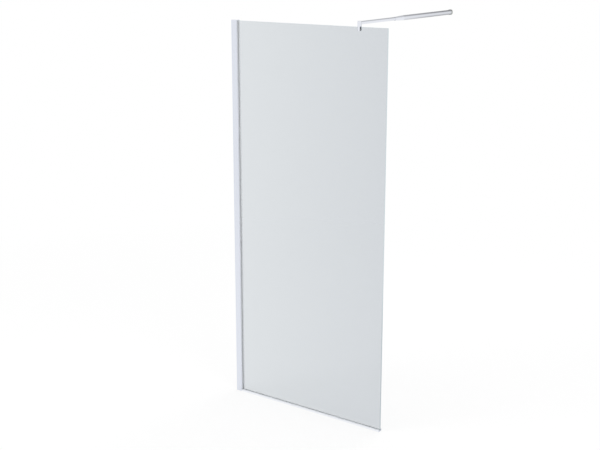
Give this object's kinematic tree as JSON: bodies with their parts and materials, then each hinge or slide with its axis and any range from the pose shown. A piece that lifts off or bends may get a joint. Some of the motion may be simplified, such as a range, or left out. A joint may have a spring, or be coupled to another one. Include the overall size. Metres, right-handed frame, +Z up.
{
  "type": "walk-in shower screen",
  "caption": "Walk-in shower screen: a clear glass panel in a wall profile and low floor channel, steadied at the top by a telescopic bar to the back wall.",
  "frame": {"origin": "on the side wall's face, at floor level, in the middle of the glass's thickness", "axes": "+X along the glass away from the side wall, +Y from the screen's front to the back wall, +Z up"},
  "size_m": [0.9, 0.944, 2.0326],
  "materials": {
    "polished_aluminium": "bright polished, slightly blue",
    "mill_aluminium": "plain extruded",
    "chromed_plastic": "bright chrome-look plating",
    "bright_chrome": "mirror chrome",
    "clear_glass": "clear toughened, polished edges, cool grey tint",
    "grey_seal": "smooth grey",
    "pale_seal": "smooth, milky",
    "black_rubber": "matte black",
    "plain_steel": "zinc-bright screw finish",
    "white_nylon": "natural nylon"
  },
  "bodies": {
    "wall_mount": {"wall_channel": "mill_aluminium"},
    "screen": {"glass_profile": "polished_aluminium", "profile_top_cap": "chromed_plastic", "profile_seal_front": "grey_seal", "profile_seal_rear": "pale_seal", "edge_blocks": "black_rubber", "lock_screws": "plain_steel", "lock_nuts": "plain_steel", "lock_screw_caps": "chromed_plastic", "glass_panel": "clear_glass", "floor_channel": "polished_aluminium", "floor_channel_end_cap": "chromed_plastic", "floor_seal_front": "grey_seal", "floor_seal_rear": "pale_seal", "setting_blocks": "black_rubber"},
    "clamp": {"clamp_body": "bright_chrome", "clamp_pad_front": "black_rubber", "inner_rod": "bright_chrome", "rod_grub_screw": "plain_steel", "rod_guide_ring": "white_nylon"},
    "clamp_jaw": {"clamp_pad_rear": "pale_seal", "clamp_pressure_plate": "plain_steel", "clamp_screws": "plain_steel"},
    "tube": {"outer_tube": "bright_chrome", "tube_bush": "chromed_plastic", "tube_lock_screw": "plain_steel", "wall_socket": "bright_chrome", "socket_grub_screw": "plain_steel"}
  },
  "joints": [
    {"name": "width_adjust", "type": "slide", "parent": "wall_mount", "child": "screen", "axis": [1, 0, 0], "range_m": [0, 0.02]},
    {"name": "clamp_position", "type": "slide", "parent": "screen", "child": "clamp", "axis": [1, 0, 0], "range_m": [-0.45, 0.12]},
    {"name": "clamp_grip", "type": "slide", "parent": "clamp", "child": "clamp_jaw", "axis": [0, 1, 0], "range_m": [0, 0.001]},
    {"name": "bar_length", "type": "slide", "parent": "clamp", "child": "tube", "axis": [0, 1, 0], "range_m": [-0.19, 0.27]}
  ]
}
